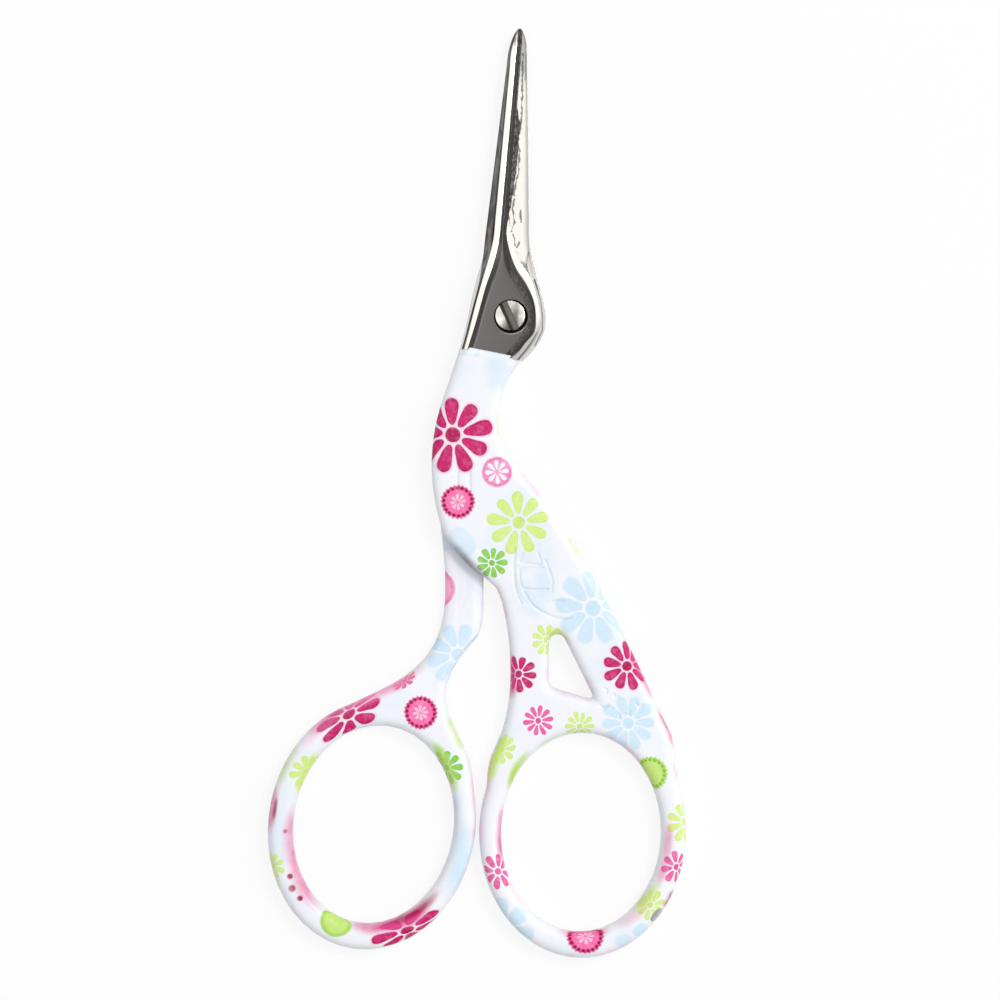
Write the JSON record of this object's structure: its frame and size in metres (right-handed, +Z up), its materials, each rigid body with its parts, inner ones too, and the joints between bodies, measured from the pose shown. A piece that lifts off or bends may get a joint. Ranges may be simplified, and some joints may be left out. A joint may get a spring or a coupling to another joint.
{
  "type": "stork embroidery scissors",
  "caption": "Small stork-shaped craft scissors: polished steel beak blades on a slotted pivot screw, with flat oval finger rings and printed white handles.",
  "frame": {"origin": "on the pivot axis, at the flush end of the pivot screw in the plane that the closed scissors lie on", "axes": "+Z up along the pivot axis towards the screw's slotted head, +Y from the pivot to the blade tips, +X towards the front half's ring"},
  "size_m": [0.0513, 0.1139, 0.0041],
  "materials": {
    "blade_steel": "polished",
    "screw_steel": "turned",
    "handle_coat": "glossy printed lacquer"
  },
  "bodies": {
    "front": {"front_half": "blade_steel", "front_handle_coat": "handle_coat"},
    "rear": {"rear_half": "blade_steel", "rear_handle_coat": "handle_coat", "pivot_screw": "screw_steel"}
  },
  "joints": [
    {"name": "blade_pivot", "type": "hinge", "parent": "front", "child": "rear", "pos_m": [0, 0, 0], "axis": [0, 0, -1], "range_deg": [0, 70]}
  ]
}
